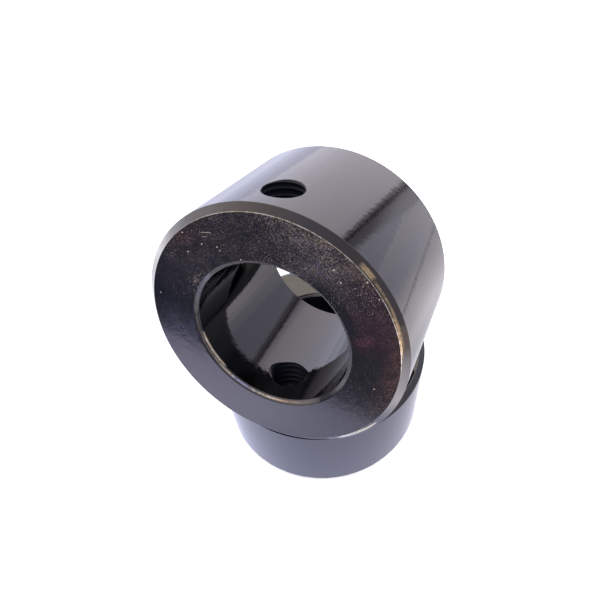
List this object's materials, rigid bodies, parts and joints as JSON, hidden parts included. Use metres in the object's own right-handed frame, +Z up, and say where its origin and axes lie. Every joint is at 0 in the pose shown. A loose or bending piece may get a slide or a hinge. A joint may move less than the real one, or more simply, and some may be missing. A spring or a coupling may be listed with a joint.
{
  "type": "rigid sleeve coupling",
  "caption": "Rigid sleeve coupling: a short black-coated steel sleeve on end, a longer one leaning across its mouth, each bored for a shaft with cup-point set screws in tapped holes.",
  "frame": {"origin": "centre of the short sleeve's bottom face, on the surface that it stands on", "axes": "+Z up along the short sleeve's axis; the long sleeve's axis lies in the YZ plane and points down towards +Y"},
  "size_m": [0.048, 0.0499, 0.0717],
  "materials": {
    "sleeve_coat": "glossy black coat on turned steel, bare metal showing along the edges",
    "screw_steel": "black oxide"
  },
  "bodies": {
    "short_sleeve": {"short_sleeve": "sleeve_coat"},
    "long_sleeve": {"long_sleeve": "sleeve_coat"},
    "long_top_screw": {"long_sleeve_top_screw": "screw_steel"},
    "long_bottom_screw": {"long_sleeve_bottom_screw": "screw_steel"},
    "short_left_screw": {"short_sleeve_left_screw": "screw_steel"},
    "short_right_screw": {"short_sleeve_right_screw": "screw_steel"}
  },
  "joints": [
    {"name": "long_sleeve_lift", "type": "slide", "parent": "short_sleeve", "child": "long_sleeve", "axis": [0, 0, 1], "range_m": [0, 0.06]},
    {"name": "long_top_screw_travel", "type": "slide", "parent": "long_sleeve", "child": "long_top_screw", "axis": [-0.0488, 0.2678, 0.9622], "range_m": [0, 0.004]},
    {"name": "long_bottom_screw_travel", "type": "slide", "parent": "long_sleeve", "child": "long_bottom_screw", "axis": [0.0488, -0.2678, -0.9622], "range_m": [-0.0044, 0]},
    {"name": "short_left_screw_travel", "type": "slide", "parent": "short_sleeve", "child": "short_left_screw", "axis": [-0.9063, -0.4226, 0], "range_m": [0, 0.004]},
    {"name": "short_right_screw_travel", "type": "slide", "parent": "short_sleeve", "child": "short_right_screw", "axis": [0.9063, 0.4226, 0], "range_m": [0, 0.004]}
  ]
}
